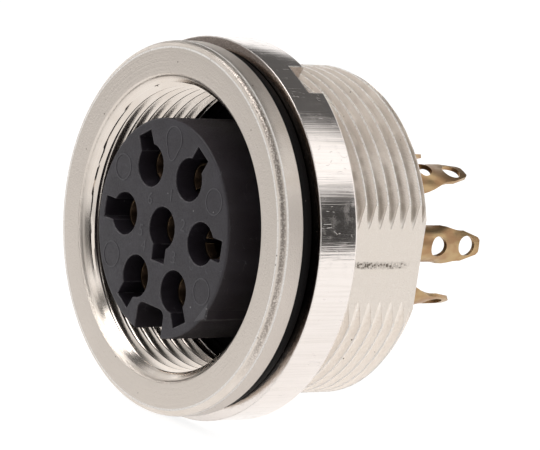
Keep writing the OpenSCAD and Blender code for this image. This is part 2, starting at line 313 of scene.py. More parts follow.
REAR_THREAD_START = -0.31
INNER_THREAD_START = -2.8
THREAD_ROWS = 14
TURNED_STEPS = 192
JOINED_WITHIN = 0.001
CUT_PAST = 1
CUT_INTO = 0.5
FLAT_CUT = (10, 12)
FLAT_FACING = 0.9999
FLAT_FROM_X = FLAT_X - 0.01


def rounded(corners, radius, steps=5):
    """A closed outline of (r, y) corners, each rounded by radius, or by its own third value."""
    outline = []
    for i, corner in enumerate(corners):
        here = Vector(corner[:2])
        before = Vector(corners[i - 1][:2]) - here
        after = Vector(corners[(i + 1) % len(corners)][:2]) - here
        wanted = corner[2] if len(corner) > 2 else radius
        half = before.angle(after) / 2
        reach = min(wanted / math.tan(half), before.length * 0.45, after.length * 0.45)
        if wanted <= 0:
            outline.append(here)
            continue
        start = here + before.normalized() * reach
        end = here + after.normalized() * reach
        for k in range(steps + 1):
            t = k / steps
            outline.append(start * (1 - t) ** 2 + here * 2 * t * (1 - t) + end * t ** 2)
    return outline


def faces_between(count, n, closed=True):
    """The faces between rings of n points, and from the last ring to the first where closed."""
    return [
        (k * n + j, k * n + (j + 1) % n, (k + 1) % count * n + (j + 1) % n, (k + 1) % count * n + j)
        for k in range(count if closed else count - 1) for j in range(n)]


def turned(name, outline, steps=TURNED_STEPS):
    """A closed ring turned round the Y axis from an outline of (r, y) in millimetres."""
    points = [
        (r * math.sin(a) * MM, y * MM, r * math.cos(a) * MM)
        for a in (math.tau * k / steps for k in range(steps)) for r, y in outline]
    return solid(name, points, faces_between(steps, len(outline)))


def solid(name, points, faces):
    """A closed mesh object from points in metres, with its faces turned outwards."""
    mesh = bpy.data.meshes.new(name)
    mesh.from_pydata(points, [], faces)
    shape = bmesh.new()
    shape.from_mesh(mesh)
    bmesh.ops.remove_doubles(shape, verts=shape.verts, dist=1e-7)
    bmesh.ops.recalc_face_normals(shape, faces=shape.faces)
    shape.to_mesh(mesh)
    shape.free()
    piece = bpy.data.objects.new(name, mesh)
    bpy.context.scene.collection.objects.link(piece)
    return piece


def box_solid(name, low, high, angle=0):
    """A block between two corners in millimetres, turned by an angle round the Y axis."""
    turn = Matrix.Rotation(angle, 3, "Y")
    points = [
        turn @ Vector((x, y, z)) * MM
        for x in (low[0], high[0]) for y in (low[1], high[1]) for z in (low[2], high[2])]
    faces = [(0, 1, 3, 2), (4, 6, 7, 5), (0, 4, 5, 1), (2, 3, 7, 6), (0, 2, 6, 4), (1, 5, 7, 3)]
    return solid(name, points, faces)


def mesh_tree(name, sizes, counts):
    """A tree for a piece's mesh, with inputs for its sizes, its counts and its material."""
    tree = bpy.data.node_groups.new(name, "GeometryNodeTree")
    inputs = [("Geometry", "Geometry"), *((size, "Float") for size in sizes),
              *((count, "Int") for count in counts), ("Material", "Material")]
    for label, kind in inputs:
        tree.interface.new_socket(label, in_out="INPUT", socket_type=f"NodeSocket{kind}")
    tree.interface.new_socket("Geometry", in_out="OUTPUT", socket_type="NodeSocketGeometry")
    nodes = Nodes(tree)
    return nodes, nodes.add("NodeGroupInput").outputs


def joined_meshes(nodes, *meshes):
    """All the meshes as one."""
    both = nodes.add("GeometryNodeJoinGeometry")
    for mesh in meshes:
        nodes.put(mesh, both.inputs[0])
    return both.outputs[0]


def close_tree(nodes, given, mesh):
    """Ends a piece's tree: instances are made real and the material is set."""
    realize = nodes.add("GeometryNodeRealizeInstances", {"Geometry": mesh})
    paint = nodes.add("GeometryNodeSetMaterial", {
        "Geometry": realize.outputs["Geometry"], "Material": given["Material"]})
    nodes.add("NodeGroupOutput", {"Geometry": paint.outputs["Geometry"]})
    return nodes.tree


def thread_tree():
    """Puts a helical thread in place of a plain stretch of the incoming mesh, round the Y axis."""
    nodes, given = mesh_tree("form_thread", (
        "Crest Radius", "Depth", "Pitch", "Crest Flat", "Start", "Low End", "High End",
        "Start Chamfer", "End Chamfer", "Run Out", "Outwards"), ("Turns", "Steps", "Rows"))
    calc, product = nodes.calc, nodes.product
    low_end, high_end = given["Low End"], given["High End"]

    # A grid whose columns go round the helix and whose rows cross one pitch: crest, then trough.
    rows = calc("ADD", given["Rows"], 2)
    grid = nodes.add("GeometryNodeMeshGrid", {
        "Vertices X": calc("ADD", product(given["Turns"], given["Steps"]), 1), "Vertices Y": rows})
    index = nodes.add("GeometryNodeInputIndex").outputs[0]
    column = calc("FLOOR", calc("DIVIDE", calc("ADD", index, 0.5), rows))
    turn = calc("DIVIDE", column, given["Steps"])
    row = calc("SUBTRACT", index, product(column, rows))
    across = calc("MAXIMUM", calc("DIVIDE", calc("SUBTRACT", row, 1), given["Rows"]), 0)
    trough = calc("SUBTRACT", given["Pitch"], given["Crest Flat"])
    along = calc("ADD", product(calc("MINIMUM", row, 1), given["Crest Flat"]), product(across, trough))
    free_y = calc("ADD", calc("ADD", product(turn, given["Pitch"]), along), given["Start"])
    y = calc("MINIMUM", calc("MAXIMUM", free_y, low_end), high_end)

    # The trough is half a sine wave deep, and it runs out towards both ends. A chamfer at either
    # end cuts the crests down where it is deeper than the trough.
    wave = calc("SINE", product(across, math.pi))
    run_out = product(nodes.fade(calc("SUBTRACT", y, low_end), 0, given["Run Out"]),
                      nodes.fade(calc("SUBTRACT", high_end, y), 0, given["Run Out"]))
    sunk = product(given["Depth"], wave, run_out)
    end_cut = calc("MAXIMUM", calc("SUBTRACT", y, calc("SUBTRACT", high_end, given["End Chamfer"])), 0)
    start_cut = calc("MAXIMUM", calc("SUBTRACT", calc("ADD", low_end, given["Start Chamfer"]), y), 0)
    deepest = calc("MAXIMUM", calc("MAXIMUM", sunk, end_cut), start_cut)
    r = calc("SUBTRACT", given["Crest Radius"], product(given["Outwards"], deepest))
    angle = product(turn, math.tau)
    place = nodes.joined(X=product(r, calc("SINE", angle)), Y=y, Z=product(r, calc("COSINE", angle)))
    wound = nodes.add("GeometryNodeSetPosition", {"Geometry": grid.outputs["Mesh"], "Position": place})
    facing = nodes.add("GeometryNodeFlipFaces", {
        "Mesh": wound.outputs["Geometry"], "Selection": calc("LESS_THAN", given["Outwards"], 0)})

    # The plain faces that the thread stands for go, and the rest is joined to the thread's ends.
    face_x, face_y, face_z = nodes.axes(nodes.add("GeometryNodeInputPosition").outputs[0])
    off_crest = calc("ABSOLUTE", calc("SUBTRACT", nodes.from_axis(face_x, face_z), given["Crest Radius"]))
    near = calc("LESS_THAN", off_crest, product(given["Depth"], 0.5))
    inside = product(calc("GREATER_THAN", face_y, low_end), calc("LESS_THAN", face_y, high_end))
    open_up = nodes.add("GeometryNodeDeleteGeometry", {
        "Geometry": given["Geometry"], "Selection": calc("GREATER_THAN", product(near, inside), 0.5)},
        domain="FACE")
    both = joined_meshes(nodes, facing.outputs["Mesh"], open_up.outputs["Geometry"])
    whole = nodes.add("GeometryNodeMergeByDistance", {
        "Geometry": both, "Distance": JOINED_WITHIN * MM})
    return close_tree(nodes, given, whole.outputs["Geometry"])


form_thread = thread_tree()


def add_tree(piece, tree, **values):
    """Puts a node tree on a piece, with its inputs set by the names that the tree gives them."""
    modifier = piece.modifiers.new(tree.name, "NODES")
    modifier.node_group = tree
    sockets = {
        item.name: item.identifier for item in tree.interface.items_tree
        if item.in_out == "INPUT" and item.name != "Geometry"}
    for name, value in values.items():
        modifier[sockets[name.replace("_", " ").title()]] = value
    return modifier


def add_thread(piece, material, outwards, turns, start_chamfer=0, end_chamfer=0, **sizes):
    """Cuts a thread on a piece, with its sizes in millimetres. Outwards is 1, or -1 in a bore."""
    sizes = dict(sizes, pitch=PITCH, start_chamfer=start_chamfer, end_chamfer=end_chamfer)
    return add_tree(
        piece, form_thread, outwards=float(outwards), turns=turns, steps=TURNED_STEPS,
        rows=THREAD_ROWS, material=material, **{name: size * MM for name, size in sizes.items()})


def add_cut(piece, cutter):
    """Takes another solid away from a piece."""
    modifier = piece.modifiers.new("cut", "BOOLEAN")
    modifier.operation = "DIFFERENCE"
    modifier.solver = "MANIFOLD"
    modifier.object = cutter
    return modifier


SHARP = math.radians(28)


def baked(piece, *cutters, sharp=SHARP):
    """The piece with its modifiers made real, its cutters gone and its edges set for shading."""
    bpy.context.view_layer.update()
    graph = bpy.context.evaluated_depsgraph_get()
    mesh = bpy.data.meshes.new_from_object(piece.evaluated_get(graph), depsgraph=graph)
    piece.modifiers.clear()
    old = piece.data
    piece.data = mesh
    mesh.name = piece.name
    bpy.data.meshes.remove(old)
    for cutter in cutters:
        bpy.data.objects.remove(cutter)
    paints = [paint for paint in mesh.materials if paint]
    mesh.materials.clear()
    for paint in paints[:1]:
        mesh.materials.append(paint)
    mesh.polygons.foreach_set("material_index", [0] * len(mesh.polygons))
    mesh.shade_smooth()
    mesh.set_sharp_from_angle(angle=sharp)
    return piece


def shader_group(name, inputs, output):
    """A shader group that takes a place in millimetres and some numbers, and gives one value."""
    tree = bpy.data.node_groups.new(name, "ShaderNodeTree")
    tree.interface.new_socket("Place", in_out="INPUT", socket_type="NodeSocketVector")
    for label, value in inputs.items():
        socket = tree.interface.new_socket(label, in_out="INPUT", socket_type="NodeSocketFloat")
        socket.default_value = value
    tree.interface.new_socket(output, in_out="OUTPUT", socket_type="NodeSocketFloat")
    nodes = Nodes(tree)
    return nodes, nodes.add("NodeGroupInput").outputs


def close_group(nodes, value):
    """Ends a shader group, which gives out this value."""
    nodes.add("NodeGroupOutput", {0: value})
    return nodes.tree


def scaled_place(nodes, place, across, along):
    """The place divided by one size across the axis and by another along it."""
    x, y, z = nodes.axes(place)
    return nodes.joined(X=nodes.calc("DIVIDE", x, across), Y=nodes.calc("DIVIDE", y, along),
                        Z=nodes.calc("DIVIDE", z, across))


def noise(nodes, place, detail):
    """Noise with one wave to each unit of the place."""
    return nodes.add("ShaderNodeTexNoise", {
        "Vector": place, "Scale": 1, "Detail": detail}).outputs["Fac"]


def grain_group():
    """Fine uneven grain, drawn out along the axis where Along is more than Across."""
    nodes, given = shader_group("fine_grain", {"Across": 0.1, "Along": 0.1}, "Height")
    place = scaled_place(nodes, given["Place"], given["Across"], given["Along"])
    return close_group(nodes, noise(nodes, place, 2))


def turning_group():
    """Fine rings that a lathe tool leaves on faces and outsides, strong in places."""
    nodes, given = shader_group("turning_marks", {"Spacing": 0.1}, "Height")
    x, y, z = nodes.axes(given["Place"])
    rings = noise(nodes, nodes.joined(
        X=nodes.calc("DIVIDE", nodes.from_axis(x, z), given["Spacing"]),
        Y=nodes.calc("DIVIDE", y, given["Spacing"])), 1)
    strength = noise(nodes, scaled_place(nodes, given["Place"], 3, 3), 1)
    return close_group(nodes, nodes.product(rings, nodes.fade(strength, 0.3, 0.7)))


def wear_group():
    """Where an edge is rubbed: near a convex edge or corner, broken up by noise."""
    nodes, given = shader_group("edge_wear", {"Width": 0.05, "Breakup": 0.3}, "Mask")
    soft = nodes.add("ShaderNodeBevel", {"Radius": nodes.product(given["Width"], MM)}, samples=4)
    flat = nodes.add("ShaderNodeNewGeometry")
    alike = nodes.add("ShaderNodeVectorMath", {0: soft.outputs[0], 1: flat.outputs["Normal"]},
                      operation="DOT_PRODUCT")
    edge = nodes.fade(nodes.inverse(alike.outputs["Value"]), 0.01, 0.12)
    uneven = noise(nodes, scaled_place(nodes, given["Place"], given["Breakup"], given["Breakup"]), 2)
    return close_group(nodes, nodes.product(edge, nodes.fade(uneven, 0.35, 0.55)))


def specks_group():
    """Small specks of dust or dirt, each somewhere in a cell of its own, most cells empty."""
    nodes, given = shader_group("specks", {"Spacing": 0.8, "Size": 0.06, "Share": 0.3}, "Mask")
    spacing = given["Spacing"]
    cells = nodes.add("ShaderNodeTexVoronoi", {
        "Vector": scaled_place(nodes, given["Place"], spacing, spacing), "Scale": 1})
    chance = nodes.add("ShaderNodeSeparateColor", {0: cells.outputs["Color"]}).outputs
    distance = nodes.product(cells.outputs["Distance"], spacing)
    size = nodes.product(given["Size"], nodes.calc("ADD", chance[1], 0.4))
    spot = nodes.inverse(nodes.fade(distance, nodes.product(size, 0.4), size))
    kept = nodes.calc("LESS_THAN", chance[0], given["Share"])
    return close_group(nodes, nodes.product(spot, kept))


def scratches_group():
    """Thin broken lines, drawn out along the axis where Along is more than Across."""
    nodes, given = shader_group(
        "scratches", {"Across": 0.5, "Along": 3, "Thickness": 0.02, "Share": 0.4}, "Mask")
    lines = noise(nodes, scaled_place(nodes, given["Place"], given["Across"], given["Along"]), 0)
    off = nodes.calc("ABSOLUTE", nodes.calc("SUBTRACT", lines, 0.5))
    line = nodes.inverse(nodes.fade(off, 0.0, given["Thickness"]))
    patches = noise(nodes, scaled_place(nodes, given["Place"], 0.9, 0.9), 2)
    limit = nodes.inverse(given["Share"])
    kept = nodes.fade(patches, limit, nodes.calc("ADD", limit, 0.08))
    return close_group(nodes, nodes.product(line, kept))


fine_grain = grain_group()
turning_marks = turning_group()
edge_wear = wear_group()
specks = specks_group()
scratches = scratches_group()


class Paint(Nodes):
    """A Principled material whose inputs are built up from the shared groups."""

    def __init__(self, name, colour, roughness, metallic=0.0):
        self.material = bpy.data.materials.new(name)
        self.material.use_nodes = True
        super().__init__(self.material.node_tree)
        self.shader = self.tree.nodes["Principled BSDF"]
        self.shader.inputs["Metallic"].default_value = metallic
        source = self.add("ShaderNodeTexCoord").outputs["Object"]
        scale = self.add("ShaderNodeVectorMath", {0: source, "Scale": 1 / MM}, operation="SCALE")
        self.place = scale.outputs[0]
        self.colour = self.add("ShaderNodeRGB").outputs[0]
        self.colour.default_value = (*colour, 1)
        self.roughness = roughness

    def effect(self, group, place=None, **values):
        """The value of a shared group with these inputs."""
        inputs = {name.title(): value for name, value in values.items()}
        inputs["Place"] = place or self.place
        return self.add("ShaderNodeGroup", inputs, node_tree=group).outputs[0]

    def tint(self, colour, mask):
        """Mixes another colour in where the mask is 1."""
        mix = self.add("ShaderNodeMix", {"Factor": mask, "A": self.colour, "B": (*colour, 1)},
                       data_type="RGBA")
        self.colour = mix.outputs["Result"]

    def roughen(self, to, mask):
        """Moves the roughness to another value where the mask is 1."""
        kept = self.product(self.roughness, self.inverse(mask))
        self.roughness = self.calc("ADD", kept, self.product(mask, to))

    def scatter(self, mask):
        """Makes the metal scatter light like a matt surface where the mask is 1."""
        metal = self.shader.inputs["Metallic"]
        self.put(self.calc("SUBTRACT", metal.default_value, mask), metal)

    def finish(self, height, depth):
        """Links the colour, the roughness and a bump of a depth in millimetres."""
        bump = self.add("ShaderNodeBump", {"Height": height, "Distance": depth * MM})
        self.put(bump.outputs[0], self.shader.inputs["Normal"])
        self.put(self.colour, self.shader.inputs["Base Color"])
        self.put(self.roughness, self.shader.inputs["Roughness"])
        return self.material


# Satin plating with a fine even grain over the tool's rings. The mouth is smoother than the
# outside, and every edge is rubbed bright.
SATIN = (0.74, 0.67, 0.605)
SATIN_CLOUD = (0.69, 0.615, 0.545)
PAINTED_LIGHT_TURNS = (0.92, 0.86, 0.80)
FLAT_GREY = (0.80, 0.735, 0.67)
PAINTED_SHADE_SIDE = (0.60, 0.54, 0.49)
PAINTED_SHADE_FACE = (0.60, 0.54, 0.485)
ROOT_SHADE_AND_DIRT = (0.52, 0.46, 0.40)
RUBBED_SATIN = (0.80, 0.75, 0.70)
PAINTED_DARK_REFLECTION = (0.30, 0.26, 0.23)
DIRT = (0.16, 0.12, 0.09)
PAINTED_DEEP_SHADE_MOUTH = (0.012, 0.011, 0.012)
CHAIN_HAZE = (0.50, 0.45, 0.40)
CHAIN_SPOTS = (0.20, 0.17, 0.14)
PAINTED_HIGHLIGHT = (0.97, 0.93, 0.89)
OUTSIDE_R = (8.1, 8.2)
MOUTH_WALL_R = (7.95, 8.1)
ROOTS_R = (8.9, 8.62)
CRESTS_R = (8.93, 8.97)
OFF_FLAT_X = (8.3, 8.2)
ON_FLAT_X = (8.0, 8.2)
FOOT_Y = (4.6, 4.9)
FOOT_END_Y = 5.6
CHAIN_Y = 6.5
CHAIN_LOW = 0.02
STREAK_ANGLES = (0.45, 0.7, 1.05, 1.25)
FRONT_LINE_ANGLES = (0.1, 0.2, 0.3, 0.4)
SIDE_LINE_ANGLES = (1.2, 1.3, 1.42, 1.5)
FACE_RINGS_Y = (-1.1, -1.3)
paint = Paint("satin_nickel", SATIN, 0.36, 1.0)
x, y, z = paint.axes(paint.place)
radius = paint.from_axis(x, z)
grain = paint.effect(fine_grain, across=0.085, along=0.085)
rings = paint.effect(turning_marks, spacing=0.09)
tone = paint.effect(fine_grain, across=1.3, along=1.3)
paint.tint(SATIN_CLOUD, paint.fade(tone, 0.35, 0.75))

# The barrel is dull, with painted light paling its turns below its top, and greyer flats. Its upper
# roots hold dirt under painted shade. The flange's side is dull too, with painted shade below its
# top, and painted shade darkens the front face all over.
outside = paint.fade(radius, *OUTSIDE_R)
barrel = paint.product(outside, paint.fade(y, 0.6, 1.0))
paint.roughen(0.62, barrel)
off_flat = paint.fade(paint.calc("ABSOLUTE", x), FLAT_X - 0.01, FLAT_X - 0.05)
# Painted light: the barrel's turns below its top are painted paler.
painted_light_barrel = paint.product(barrel, paint.fade(z, 6.5, 4.5))
paint.tint(PAINTED_LIGHT_TURNS, paint.product(painted_light_barrel, off_flat))
paint.tint(FLAT_GREY, paint.product(barrel, paint.inverse(off_flat)))
side_face = paint.fade(radius, FLANGE_R - 0.05, FLANGE_R - 0.01)
paint.roughen(0.52, side_face)
# Painted shade: the flange's side is painted darker below its top.
paint.tint(PAINTED_SHADE_SIDE, paint.product(side_face, paint.fade(z, 5, 3)))
# Painted shade: the whole front face is painted darker.
paint.tint(PAINTED_SHADE_FACE, paint.fade(y, FRONT_Y + 0.03, FRONT_Y + 0.01))
# Painted shade in the thread's upper roots, mixed with dirt.
in_roots = paint.product(paint.fade(radius, *ROOTS_R), paint.fade(z, -1, 2), barrel,
                         paint.fade(x, *OFF_FLAT_X))
paint.tint(ROOT_SHADE_AND_DIRT, paint.product(in_roots, paint.fade(tone, 0.2, 0.6)))
paint.roughen(0.16, paint.inverse(paint.fade(radius, *MOUTH_WALL_R)))
paint.roughen(0.42, paint.product(outside, paint.fade(grain, 0.45, 0.8)))
rubbed = paint.effect(edge_wear, width=0.05, breakup=0.2)
paint.tint(RUBBED_SATIN, rubbed)
paint.roughen(0.25, rubbed)

# Round the flange's front corner a painted dark reflection lies between two painted highlights,
# and it reaches over the side at the top. The thread's crests carry the same painted highlight.
from_centre = paint.calc("SUBTRACT", radius, FLANGE_R - FLANGE_ROUND)
from_front = paint.calc("SUBTRACT", FRONT_Y + FLANGE_ROUND, y)
round_it = paint.calc("ARCTAN2", from_centre, from_front)
in_corner = paint.product(paint.calc("GREATER_THAN", from_centre, 0.0),
                          paint.calc("GREATER_THAN", from_front, 0.0))
# Painted dark reflection round the corner and over the top of the side.
corner_dark_reflection = paint.product(
    paint.band(round_it, *STREAK_ANGLES), in_corner, paint.fade(grain, 0.25, 0.6),
    paint.product(paint.fade(x, 1, 5), paint.fade(z, -7, -3)))
side_dark_reflection = paint.product(side_face, paint.fade(y, -0.55, -1.1),
                          paint.product(paint.fade(z, 5, 7), paint.fade(grain, 0.2, 0.6)))
paint.tint(PAINTED_DARK_REFLECTION, paint.calc("MAXIMUM", corner_dark_reflection, paint.product(side_dark_reflection, 0.7)))
# Painted highlights: two lines round the corner's rounding, and the thread's crests.
lit_lines = paint.calc("ADD", paint.band(round_it, *FRONT_LINE_ANGLES),
                       paint.band(round_it, *SIDE_LINE_ANGLES))
lit_lines = paint.product(lit_lines, in_corner, paint.fade(grain, 0.2, 0.5))
paint.tint(PAINTED_HIGHLIGHT, lit_lines)
paint.roughen(0.6, lit_lines)
crests = paint.product(paint.fade(radius, *CRESTS_R),
                       paint.product(barrel, paint.fade(grain, 0.35, 0.5)))
paint.tint(PAINTED_HIGHLIGHT, crests)
paint.scatter(paint.product(paint.calc("MAXIMUM", lit_lines, crests), 0.5))

# Specks of dirt all over, painted black shade deep in the mouth round the insert's foot, and a chain
# of stains along the middle of the flat.
dirt = paint.effect(specks, spacing=0.6, size=0.05, share=0.3)
paint.tint(DIRT, dirt)
paint.roughen(0.7, dirt)
# Painted shade: black deep in the mouth round the insert's foot.
foot = paint.product(paint.fade(y, *FOOT_Y),
                     paint.product(paint.calc("LESS_THAN", y, FOOT_END_Y), paint.inverse(outside)))
paint.tint(PAINTED_DEEP_SHADE_MOUTH, foot)
paint.roughen(0.5, foot)
off_middle = paint.calc("ABSOLUTE", paint.calc("SUBTRACT", y, CHAIN_Y))
off_chain = paint.calc("ABSOLUTE", paint.calc("ADD", z, CHAIN_LOW))
chain = paint.product(paint.fade(off_middle, 2.3, 1.4), paint.fade(off_chain, 0.26, 0.05),
                      paint.fade(x, *ON_FLAT_X))
stain = paint.product(chain, paint.effect(specks, spacing=0.13, size=0.09, share=0.55))
paint.tint(CHAIN_HAZE, paint.product(chain, paint.fade(grain, 0.3, 0.6)))
paint.tint(CHAIN_SPOTS, stain)
paint.roughen(0.7, stain)

# The tool's rings are strongest on the front face, and the mouth has almost no grain.
on_face = paint.fade(y, *FACE_RINGS_Y)
height = paint.calc("MULTIPLY_ADD", rings, paint.calc("MULTIPLY_ADD", on_face, 0.7, 0.3), grain)
height = paint.product(height, paint.calc("MULTIPLY_ADD", outside, 0.93, 0.07))
nickel = paint.finish(height, 0.028)

housing = turned("housing_body", rounded([
    (MOUTH_R, FRONT_Y, 0.05),
    (FLANGE_R, FRONT_Y, FLANGE_ROUND),
    (FLANGE_R, 0, 0.06),
    (SEAL_GROOVE_R, 0, 0),
    (SEAL_GROOVE_R, SEAL_W, 0),
    (BARREL_R, SEAL_W, 0),
    (BARREL_R, REAR_THREAD_Y, 0),
    (BARREL_R - BARREL_CHAMFER, BARREL_END_Y, 0),
    (REAR_BORE_R, BARREL_END_Y, 0.05),
    (REAR_BORE_R, LIP_Y[1], 0),
    (LIP_R, LIP_Y[1], 0.04),
    (LIP_R, LIP_Y[0], 0.04),
    (INNER_THREAD_R, LIP_Y[0], 0),
    (INNER_THREAD_R, RELIEF_END_Y, 0.03),
    (RELIEF_R, RELIEF_END_Y, 0.05),
    (RELIEF_R, INNER_THREAD_Y[1], 0),
    (INNER_THREAD_R, INNER_THREAD_Y[1], 0),
    (INNER_THREAD_R, INNER_THREAD_Y[0] + 0.01, 0),
    (MOUTH_INNER_R, INNER_THREAD_Y[0], 0),
    (MOUTH_R - MOUTH_CHAMFER, FRONT_Y + MOUTH_CHAMFER, 0.04),
], 0.04))
flats = [
    box_solid(f"flat_{angle}", (-FLAT_CUT[0], SEAL_W, FLAT_X),
              (FLAT_CUT[0], BARREL_END_Y + CUT_PAST, FLAT_CUT[1]), math.radians(angle))
    for angle in (90, 270)]
key_groove = box_solid(
    "key_groove", (-KEY_GROOVE_W / 2, LIP_Y[1], REAR_BORE_R - CUT_INTO),
    (KEY_GROOVE_W / 2, BARREL_END_Y + CUT_PAST, KEY_GROOVE_R))
add_thread(housing, nickel, 1, turns=13, crest_radius=BARREL_R, depth=THREAD_DEPTH,
           crest_flat=CREST_FLAT, start=REAR_THREAD_START, run_out=0.3, low_end=REAR_THREAD_Y,
           high_end=BARREL_END_Y, end_chamfer=BARREL_CHAMFER)
# The inner thread starts where the mouth's taper ends, and a chamfer cuts its first crests down.
add_thread(housing, nickel, -1, turns=10, crest_radius=INNER_THREAD_R, depth=THREAD_DEPTH,
           crest_flat=CREST_FLAT, start=INNER_THREAD_START, run_out=0.12,
           low_end=INNER_THREAD_Y[0], high_end=INNER_THREAD_Y[1], start_chamfer=INNER_CHAMFER)
for cutter in (*flats, key_groove):
    add_cut(housing, cutter)
baked(housing, *flats, key_groove)
# The flats are milled, so the edges round them stay sharp.
edges = bmesh.new()
edges.from_mesh(housing.data)
for edge in edges.edges:
    on_flat = [abs(face.normal.x) > FLAT_FACING and abs(face.calc_center_median().x) > FLAT_FROM_X * MM
               for face in edge.link_faces]
    if any(on_flat) and not all(on_flat):
        edge.smooth = False
edges.to_mesh(housing.data)
edges.free()
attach(housing, "socket")
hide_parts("housing")

# ---------------------------------------------------------------------------------------------
# Panel seal
# A moulded rubber ring in the groove behind the flange. It seals the socket on the panel, and
# here it is squeezed between the flange and the ring nut, so that its edge swells a little.
_, SEAL_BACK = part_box("panel_seal")
SEAL_R = SEAL_BACK[0] / MM
SEAL_SWELL = 0.04

# Matt black rubber with a moulded grain, paler where it is rubbed, and a little dust.
RUBBER = (0.006, 0.005, 0.005)
RUBBED_RUBBER = (0.02, 0.018, 0.018)
RUBBER_DUST = (0.10, 0.09, 0.085)
paint = Paint("black_rubber", RUBBER, 0.5)
paint.shader.inputs["Specular IOR Level"].default_value = 0.1
grain = paint.effect(fine_grain, across=0.06, along=0.06)
paint.roughen(0.72, paint.fade(grain, 0.35, 0.7))
paint.tint(RUBBED_RUBBER, paint.effect(edge_wear, width=0.08, breakup=0.4))
dust = paint.effect(specks, spacing=0.45, size=0.04, share=0.3)
paint.tint(RUBBER_DUST, dust)
rubber = paint.finish(grain, 0.012)

panel_seal = turned("seal_ring", rounded([
    (SEAL_GROOVE_R, 0, 0.15),
    (SEAL_R - SEAL_SWELL, 0, 0.25),
    (SEAL_R, SEAL_W / 2, 0.3),
    (SEAL_R - SEAL_SWELL, SEAL_W, 0.25),
    (SEAL_GROOVE_R, SEAL_W, 0.15),
], 0.1))
panel_seal.data.materials.append(rubber)
baked(panel_seal)
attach(panel_seal, "socket")
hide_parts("panel_seal")

# ---------------------------------------------------------------------------------------------
# Ring nut
# Turned from drawn bar and nickel plated, so its outside is brighter than the housing and keeps
# the fine lines of the bar. Two slots in its rear edge take a pin spanner.
NUT_FRONT, NUT_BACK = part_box("ring_nut")
NUT_R = NUT_BACK[0] / MM
NUT_Y = (NUT_FRONT[1] / MM, NUT_BACK[1] / MM)
NUT_CHAMFER = (0.55, 0.11)
NUT_EDGE = 0.07
NUT_THREAD_R = 9.05
NUT_THREAD_DEPTH = 0.35
NUT_CREST_FLAT = 0.115
NUT_THREAD_END = 0.25
NUT_SLOT_W = 2.2
NUT_SLOT_FROM_R = 8
NUT_SLOT_H = 1.0
NUT_SLOT_EDGE = 0.09
NUT_TURN = 27

# Bright plating over the lines of the drawn bar, clouded in places, with fine scratches, painted
# shade in the gap on the upper part of the front face, deepest at mid height, and rubbed pale along
# every edge.
BRIGHT = (0.79, 0.73, 0.69)
BRIGHT_CLOUD = (0.75, 0.69, 0.645)
PAINTED_SHADE_GAP = (0.30, 0.25, 0.22)
PAINTED_SHADE_GRAIN = (0.16, 0.13, 0.11)
PAINTED_DEEP_SHADE_GAP = (0.05, 0.04, 0.038)
RUBBED_BRIGHT = (0.95, 0.90, 0.85)
GAP_Y = (0.91, 0.89)
SHADE_FADES_Z = (-6, -3)
SLANT = math.radians(50)
paint = Paint("bright_nickel", BRIGHT, 0.12, 1.0)
_, y, z = paint.axes(paint.place)
lines = paint.effect(fine_grain, across=0.035, along=2.4)
coarse = paint.effect(fine_grain, across=0.12, along=5)
cloud = paint.effect(fine_grain, across=0.5, along=0.5)
grain = paint.effect(fine_grain, across=0.05, along=0.05)
clouded = paint.fade(paint.calc("ADD", cloud, paint.product(grain, 0.6)), 0.8, 1.0)
paint.roughen(0.22, clouded)
paint.tint(BRIGHT_CLOUD, paint.fade(coarse, 0.4, 0.75))
slanted = paint.add("ShaderNodeVectorRotate", {"Vector": paint.place, "Angle": SLANT},
                    rotation_type="X_AXIS").outputs[0]
marks = paint.calc(
    "MAXIMUM", paint.effect(scratches, across=0.35, along=4, thickness=0.012, share=0.42),
    paint.effect(scratches, place=slanted, across=0.3, along=1.6, thickness=0.01, share=0.38))
paint.roughen(0.55, marks)
# Painted shade in the gap behind the flange, grainy, deepest at mid height.
in_gap = paint.product(paint.fade(y, *GAP_Y), paint.fade(z, *SHADE_FADES_Z))
paint.tint(PAINTED_SHADE_GAP, in_gap)
paint.tint(PAINTED_SHADE_GRAIN, paint.product(in_gap, paint.fade(grain, 0.4, 0.6)))
shaded = paint.fade(paint.calc("ABSOLUTE", z), 4, 1)
paint.tint(PAINTED_DEEP_SHADE_GAP, paint.product(in_gap, shaded))
rubbed = paint.effect(edge_wear, width=0.1, breakup=0.15)
paint.tint(RUBBED_BRIGHT, rubbed)
paint.roughen(0.55, rubbed)
paint.scatter(paint.product(rubbed, 0.9))
height = paint.calc("ADD", paint.product(lines, 0.4), coarse)
bright_nickel = paint.finish(paint.calc("ADD", height, paint.product(marks, 0.5)), 0.006)


def lofted(name, rings):
    """A closed solid through rings of the same number of points, given in metres."""
    n = len(rings[0])
    points = [point for ring in rings for point in ring]
    faces = faces_between(len(rings), n, closed=False)
    faces += [tuple(range(n)), tuple(range(len(points) - n, len(points)))]
    return solid(name, points, faces)


def slot_cutter(angle):
    """A spanner slot through the nut's wall that opens out at the outer surface."""
    turn = Matrix.Rotation(angle, 3, "Y")
    rings = []
    levels = ((NUT_SLOT_FROM_R, 0), (NUT_R - NUT_SLOT_EDGE, 0),
              (NUT_R + NUT_SLOT_EDGE, 2 * NUT_SLOT_EDGE))
    for r, grow in levels:
        half = NUT_SLOT_W / 2 + grow
        floor_y = NUT_Y[1] - NUT_SLOT_H - grow
        top_y = NUT_Y[1] + CUT_PAST
        corners = ((-half, floor_y), (half, floor_y), (half, top_y), (-half, top_y))
        rings.append([turn @ Vector((x, y, r)) * MM for x, y in corners])
    return lofted(f"slot_{angle:.2f}", rings)


